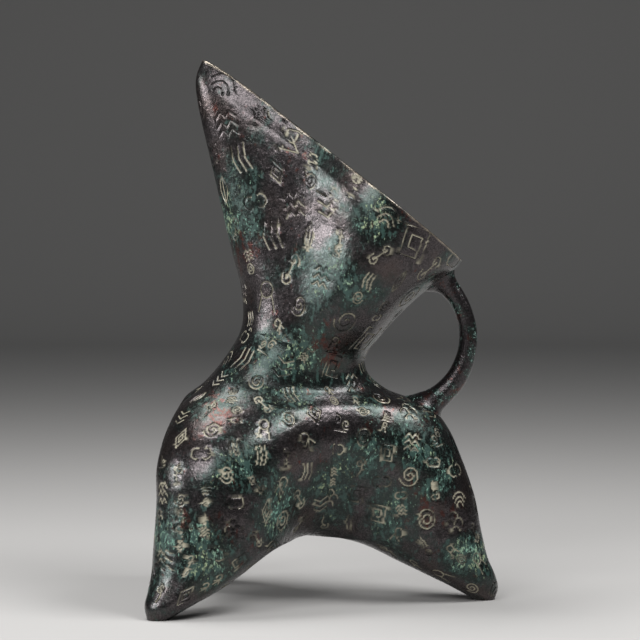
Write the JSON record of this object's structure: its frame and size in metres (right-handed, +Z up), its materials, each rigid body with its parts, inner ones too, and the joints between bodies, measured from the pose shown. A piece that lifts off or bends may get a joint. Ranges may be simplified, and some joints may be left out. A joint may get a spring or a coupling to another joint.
{
  "type": "bronze tripod pouring vessel",
  "caption": "Cast bronze tripod pouring vessel: hollow pouch legs, narrow tilted waist, slanting beaked mouth and a round loop handle.",
  "frame": {"origin": "on the floor, under the middle of the footprint", "axes": "+Z up; the beak of the mouth points along -X, the handle lies along +X; the XZ plane is the plane of symmetry"},
  "size_m": [0.1804, 0.1512, 0.2803],
  "materials": {
    "patinated_bronze": "dark green and brown patina over cast bronze, waxed",
    "handle_bronze": "dark patina, worn smooth by handling",
    "inner_bronze": "dull unpolished bronze",
    "plug_bronze": "dull worn bronze"
  },
  "bodies": {
    "root": {"mouth_funnel": "patinated_bronze", "waist_sleeve": "inner_bronze", "pouch_leg_rear": "patinated_bronze", "pouch_leg_front_right": "patinated_bronze", "pouch_leg_front_left": "patinated_bronze", "loop_handle": "handle_bronze", "handle_rove_upper": "inner_bronze", "handle_rove_lower": "inner_bronze", "foot_plug_rear": "plug_bronze", "foot_plug_front_right": "plug_bronze", "foot_plug_front_left": "plug_bronze"}
  },
  "joints": []
}
